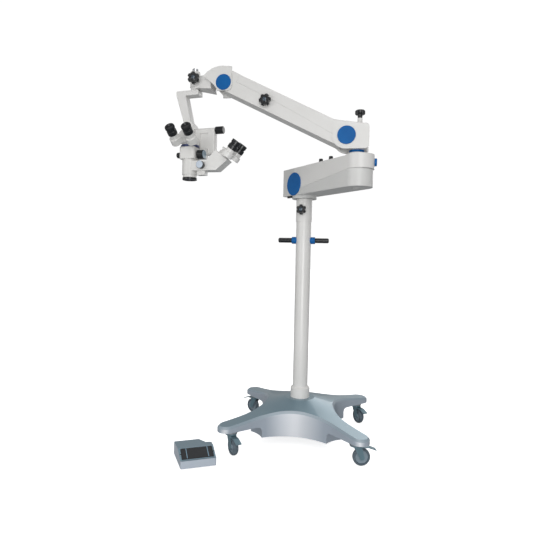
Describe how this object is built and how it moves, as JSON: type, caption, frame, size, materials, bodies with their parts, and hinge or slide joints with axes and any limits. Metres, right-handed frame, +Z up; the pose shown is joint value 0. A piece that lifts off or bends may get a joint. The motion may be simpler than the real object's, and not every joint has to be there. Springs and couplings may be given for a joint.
{
  "type": "surgical microscope",
  "caption": "Floor-stand surgical microscope: castor base, column, folding arms with a parallel spring arm, tilting optical head, twin eyepiece sets and foot pedal.",
  "frame": {"origin": "on the floor, on the axis of the column", "axes": "+Z up along the column; the four base arms lie on the diagonals of X and Y; the operator stands on the -Y side"},
  "size_m": [0.9332, 0.826, 1.7295],
  "materials": {
    "base_blue_grey": "satin painted casting",
    "warm_white": "satin light grey-white paint",
    "box_grey": "satin light grey paint",
    "cap_blue": "gloss moulded caps",
    "knob_black": "gloss black moulded knobs",
    "rubber_black": "matt rubber",
    "steel": "brushed steel",
    "chrome": "polished",
    "caster_grey": "satin painted pressing",
    "caster_tyre": "moulded wheel",
    "ring_violet": "satin anodised ring",
    "pedal_grey": "moulded case",
    "rocker_black": "moulded plate",
    "optic_glass": "coated glass"
  },
  "bodies": {
    "stand": {"base_casting": "base_blue_grey", "column": "warm_white", "handle_grips": "knob_black", "handle_collars": "cap_blue", "caster_plates": "steel", "hub_sleeve": "warm_white"},
    "caster_1": {"caster_fork_1": "caster_grey"},
    "wheel_1": {"caster_wheel_1": "caster_tyre"},
    "brake_1": {"caster_brake_1": "caster_grey"},
    "caster_2": {"caster_fork_2": "caster_grey"},
    "wheel_2": {"caster_wheel_2": "caster_tyre"},
    "brake_2": {"caster_brake_2": "caster_grey"},
    "caster_3": {"caster_fork_3": "caster_grey"},
    "wheel_3": {"caster_wheel_3": "caster_tyre"},
    "brake_3": {"caster_brake_3": "caster_grey"},
    "caster_4": {"caster_fork_4": "caster_grey"},
    "wheel_4": {"caster_wheel_4": "caster_tyre"},
    "brake_4": {"caster_brake_4": "caster_grey"},
    "column_lock": {"column_lock_knob": "knob_black"},
    "lower_arm": {"arm_box_body": "box_grey", "arm_box_cover": "warm_white", "arm_box_discs": "cap_blue", "box_sockets": "knob_black", "power_unit": "box_grey", "rear_swivel_ring": "cap_blue"},
    "power_switch": {"power_dial": "knob_black"},
    "brightness": {"brightness_dial": "knob_black"},
    "rear_column": {"rear_housing": "warm_white", "rear_pivot_pin": "cap_blue"},
    "rear_lock": {"rear_lock_knob": "knob_black"},
    "spring_arm": {"spring_arm_body": "warm_white", "spring_arm_cover": "warm_white", "balance_spring": "steel"},
    "link_rod": {"parallel_rod": "steel"},
    "arm_lock": {"arm_lock_knob": "knob_black"},
    "front_knuckle": {"front_housing": "warm_white", "front_pivot_pin": "cap_blue"},
    "front_lock": {"front_lock_knob": "knob_black"},
    "drop_arm": {"drop_spindle": "chrome", "drop_bracket": "warm_white"},
    "tilt_carrier": {"carrier": "warm_white"},
    "tilt_lock": {"tilt_knob": "knob_black"},
    "optical_head": {"microscope_body": "warm_white", "objective_ring": "knob_black", "objective_lens": "optic_glass", "binocular_ring": "ring_violet", "binocular_base": "warm_white", "assistant_block": "warm_white"},
    "zoom": {"zoom_knobs": "knob_black"},
    "assistant_adjust": {"assistant_knob": "knob_black"},
    "left_tube": {"eyepiece_tube_left": "warm_white", "eyepiece_left": "knob_black"},
    "right_tube": {"eyepiece_tube_right": "warm_white", "eyepiece_right": "knob_black"},
    "assistant_turret": {"assistant_base": "warm_white"},
    "assistant_left": {"assistant_tube_left": "warm_white"},
    "assistant_right": {"assistant_tube_right": "warm_white"},
    "foot_control": {"pedal_case": "pedal_grey", "pedal_feet": "rubber_black"},
    "foot_rocker": {"pedal_rocker": "rocker_black"}
  },
  "joints": [
    {"name": "caster_1_swivel", "type": "hinge", "parent": "stand", "child": "caster_1", "pos_m": [-0.27577, -0.27577, 0.092], "axis": [0, 0, 1], "continuous": true},
    {"name": "caster_1_roll", "type": "hinge", "parent": "caster_1", "child": "wheel_1", "pos_m": [-0.26038, -0.29547, 0.0375], "axis": [0.788, 0.6157, 0], "continuous": true},
    {"name": "caster_1_brake", "type": "hinge", "parent": "caster_1", "child": "brake_1", "pos_m": [-0.27085, -0.28208, 0.08], "axis": [0.788, 0.6157, 0], "range_deg": [0, 5]},
    {"name": "caster_2_swivel", "type": "hinge", "parent": "stand", "child": "caster_2", "pos_m": [0.27577, -0.27577, 0.092], "axis": [0, 0, 1], "continuous": true},
    {"name": "caster_2_roll", "type": "hinge", "parent": "caster_2", "child": "wheel_2", "pos_m": [0.29992, -0.2693, 0.0375], "axis": [-0.2588, 0.9659, 0], "continuous": true},
    {"name": "caster_2_brake", "type": "hinge", "parent": "caster_2", "child": "brake_2", "pos_m": [0.2835, -0.2737, 0.08], "axis": [-0.2588, 0.9659, 0], "range_deg": [0, 5]},
    {"name": "caster_3_swivel", "type": "hinge", "parent": "stand", "child": "caster_3", "pos_m": [0.27577, 0.27577, 0.092], "axis": [0, 0, 1], "continuous": true},
    {"name": "caster_3_roll", "type": "hinge", "parent": "caster_3", "child": "wheel_3", "pos_m": [0.29011, 0.25529, 0.0375], "axis": [0.8192, 0.5736, 0], "continuous": true},
    {"name": "caster_3_brake", "type": "hinge", "parent": "caster_3", "child": "brake_3", "pos_m": [0.28036, 0.26922, 0.08], "axis": [0.8192, 0.5736, 0], "range_deg": [0, 5]},
    {"name": "caster_4_swivel", "type": "hinge", "parent": "stand", "child": "caster_4", "pos_m": [-0.27577, 0.27577, 0.092], "axis": [0, 0, 1], "continuous": true},
    {"name": "caster_4_roll", "type": "hinge", "parent": "caster_4", "child": "wheel_4", "pos_m": [-0.29742, 0.28827, 0.0375], "axis": [-0.5, -0.866, 0], "continuous": true},
    {"name": "caster_4_brake", "type": "hinge", "parent": "caster_4", "child": "brake_4", "pos_m": [-0.2827, 0.27977, 0.08], "axis": [-0.5, -0.866, 0], "range_deg": [0, 5]},
    {"name": "column_lock_turn", "type": "hinge", "parent": "stand", "child": "column_lock", "pos_m": [-0.00615, -0.03882, 1.115], "axis": [-0.1564, -0.9877, 0], "range_deg": [-180, 180]},
    {"name": "lower_arm_swivel", "type": "hinge", "parent": "stand", "child": "lower_arm", "pos_m": [0, 0, 1.17], "axis": [0, 0, 1], "range_deg": [-150, 150]},
    {"name": "power_switch_turn", "type": "hinge", "parent": "lower_arm", "child": "power_switch", "pos_m": [0.0886, -0.155, 1.316], "axis": [0, 0, 1], "range_deg": [0, 270]},
    {"name": "brightness_turn", "type": "hinge", "parent": "lower_arm", "child": "brightness", "pos_m": [0.13607, -0.20645, 1.316], "axis": [0, 0, 1], "range_deg": [0, 270]},
    {"name": "upper_arm_swivel", "type": "hinge", "parent": "lower_arm", "child": "rear_column", "pos_m": [0.24753, -0.26824, 1.3415], "axis": [0, 0, 1], "range_deg": [-100, 100]},
    {"name": "rear_lock_turn", "type": "hinge", "parent": "rear_column", "child": "rear_lock", "pos_m": [0.25753, -0.26845, 1.478], "axis": [0, 0, 1], "range_deg": [-180, 180]},
    {"name": "spring_arm_pitch", "type": "hinge", "parent": "rear_column", "child": "spring_arm", "pos_m": [0.20524, -0.26736, 1.3976], "axis": [-0.0209, -0.9998, 0], "range_deg": [-3, 38]},
    {"name": "link_rod_pitch", "type": "hinge", "parent": "rear_column", "child": "link_rod", "pos_m": [0.20524, -0.26736, 1.4216], "axis": [-0.0209, -0.9998, 0], "range_deg": [-3, 38]},
    {"name": "arm_lock_turn", "type": "hinge", "parent": "spring_arm", "child": "arm_lock", "pos_m": [-0.14355, -0.30606, 1.55538], "axis": [-0.0209, -0.9998, 0], "range_deg": [-180, 180]},
    {"name": "front_knuckle_pitch", "type": "hinge", "parent": "spring_arm", "child": "front_knuckle", "pos_m": [-0.33165, -0.25611, 1.64369], "axis": [-0.0209, -0.9998, 0], "range_deg": [-38, 3]},
    {"name": "front_lock_turn", "type": "hinge", "parent": "front_knuckle", "child": "front_lock", "pos_m": [-0.47645, -0.28283, 1.67268], "axis": [0.1702, -0.9854, 0], "range_deg": [-180, 180]},
    {"name": "drop_arm_swivel", "type": "hinge", "parent": "front_knuckle", "child": "drop_arm", "pos_m": [-0.48161, -0.25297, 1.64369], "axis": [0, 0, 1], "range_deg": [-110, 110]},
    {"name": "head_tilt", "type": "hinge", "parent": "drop_arm", "child": "tilt_carrier", "pos_m": [-0.47505, -0.24874, 1.44769], "axis": [0.9925, -0.1219, 0], "range_deg": [-10, 40]},
    {"name": "tilt_lock_turn", "type": "hinge", "parent": "tilt_carrier", "child": "tilt_lock", "pos_m": [-0.37778, -0.26068, 1.44769], "axis": [0.9925, -0.1219, 0], "range_deg": [-180, 180]},
    {"name": "focus_slide", "type": "slide", "parent": "tilt_carrier", "child": "optical_head", "axis": [0, 0, 1], "range_m": [-0.015, 0.02]},
    {"name": "zoom_turn", "type": "hinge", "parent": "optical_head", "child": "zoom", "pos_m": [-0.48175, -0.30333, 1.33068], "axis": [0.9925, -0.1219, 0], "range_deg": [-150, 150]},
    {"name": "assistant_adjust_turn", "type": "hinge", "parent": "optical_head", "child": "assistant_adjust", "pos_m": [-0.41568, -0.33965, 1.27768], "axis": [-0.1219, -0.9925, 0], "range_deg": [-180, 180]},
    {"name": "eye_spacing", "type": "hinge", "parent": "optical_head", "child": "left_tube", "pos_m": [-0.48717, -0.34749, 1.40701], "axis": [-0.0986, -0.803, 0.5878], "range_deg": [0, 18]},
    {"name": "eye_spacing_right", "type": "hinge", "parent": "optical_head", "child": "right_tube", "pos_m": [-0.48717, -0.34749, 1.40701], "axis": [-0.0986, -0.803, 0.5878], "range_deg": [-18, 0]},
    {"name": "assistant_swivel", "type": "hinge", "parent": "optical_head", "child": "assistant_turret", "pos_m": [-0.31851, -0.32337, 1.32184], "axis": [0.6111, -0.075, 0.788], "range_deg": [-45, 45]},
    {"name": "assistant_spacing", "type": "hinge", "parent": "assistant_turret", "child": "assistant_left", "pos_m": [-0.30874, -0.32457, 1.33445], "axis": [0.6111, -0.075, 0.788], "range_deg": [0, 18]},
    {"name": "assistant_spacing_right", "type": "hinge", "parent": "assistant_turret", "child": "assistant_right", "pos_m": [-0.30874, -0.32457, 1.33445], "axis": [0.6111, -0.075, 0.788], "range_deg": [-18, 0]},
    {"name": "foot_control_place", "type": "slide", "parent": "stand", "child": "foot_control", "axis": [0, -1, 0], "range_m": [0, 0.4]},
    {"name": "foot_rocker_tilt", "type": "hinge", "parent": "foot_control", "child": "foot_rocker", "pos_m": [-0.38462, -0.42056, 0.04715], "axis": [0.878, 0.4787, 0], "range_deg": [-4, 4], "stiffness_Nm_per_rad": 6}
  ],
  "couplings": [
    {"joint": "link_rod_pitch", "follows": "spring_arm_pitch", "ratio": 1},
    {"joint": "front_knuckle_pitch", "follows": "spring_arm_pitch", "ratio": -1},
    {"joint": "eye_spacing_right", "follows": "eye_spacing", "ratio": -1},
    {"joint": "assistant_spacing_right", "follows": "assistant_spacing", "ratio": -1}
  ]
}
